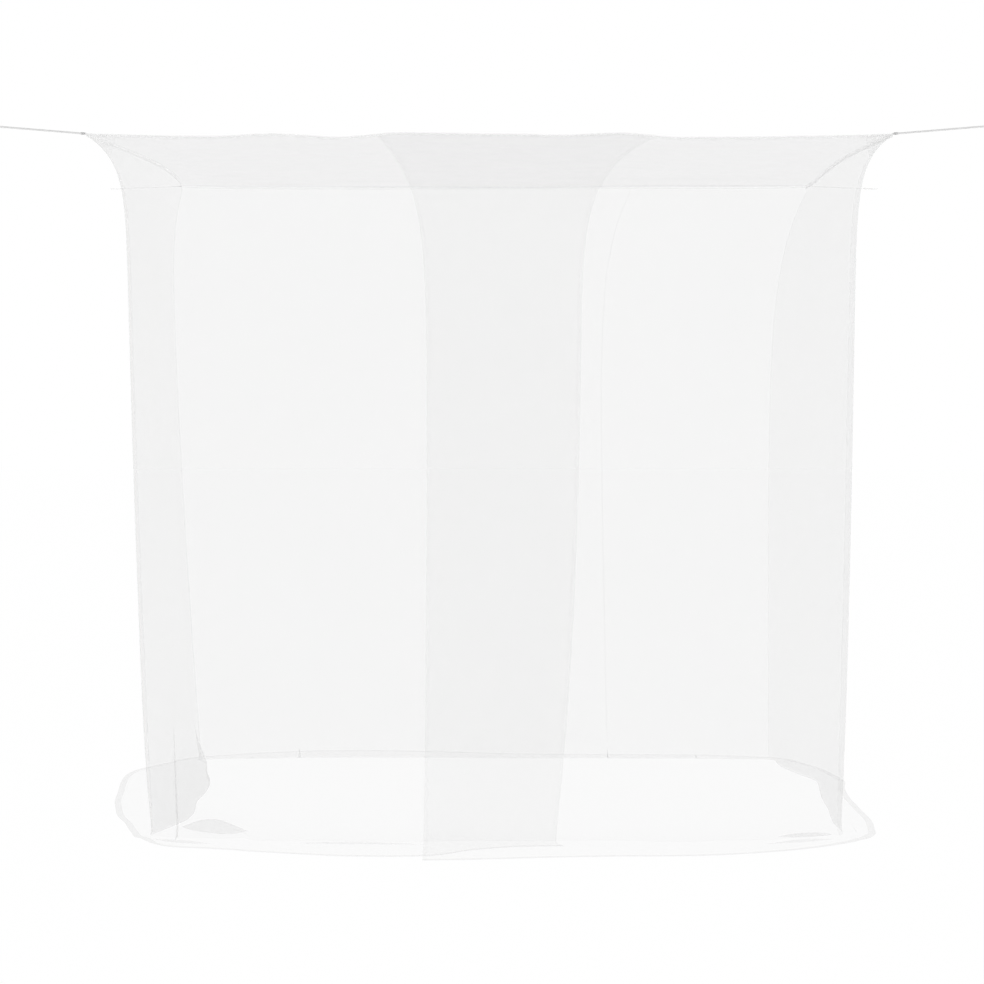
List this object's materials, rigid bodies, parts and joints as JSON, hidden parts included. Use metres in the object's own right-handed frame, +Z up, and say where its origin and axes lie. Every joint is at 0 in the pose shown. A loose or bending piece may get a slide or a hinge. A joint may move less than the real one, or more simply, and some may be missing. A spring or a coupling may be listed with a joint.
{
  "type": "mosquito net canopy",
  "caption": "Box-shaped white mosquito net canopy with a flat roof, corner ties, door panels that overlap in front and a hem that lies on the floor.",
  "frame": {"origin": "on the floor, under the middle of the box around the net without its ties", "axes": "+Z up; the side with the door panels faces -Y; +X to the right, seen from the door side"},
  "size_m": [2.8597, 2.617, 2.0261],
  "materials": {
    "net_cloth": "matt white polyester netting, fine and see-through",
    "binding_tape": "matt white folded polyester tape, stitched",
    "tie_cord": "matt off-white twisted cotton or polyester cord"
  },
  "bodies": {
    "root": {"roof_panel": "net_cloth", "front_panel_left": "net_cloth", "front_panel_right": "net_cloth", "back_panel": "net_cloth", "side_panel_left": "net_cloth", "side_panel_right": "net_cloth", "edge_binding_front": "binding_tape", "edge_binding_right": "binding_tape", "edge_binding_back": "binding_tape", "edge_binding_left": "binding_tape", "tie_cord_front_left": "tie_cord", "tie_knot_front_left": "tie_cord", "tie_loop_front_left": "tie_cord", "tie_cord_front_right": "tie_cord", "tie_knot_front_right": "tie_cord", "tie_loop_front_right": "tie_cord", "tie_cord_back_right": "tie_cord", "tie_knot_back_right": "tie_cord", "tie_loop_back_right": "tie_cord", "tie_cord_back_left": "tie_cord", "tie_knot_back_left": "tie_cord", "tie_loop_back_left": "tie_cord"}
  },
  "joints": []
}
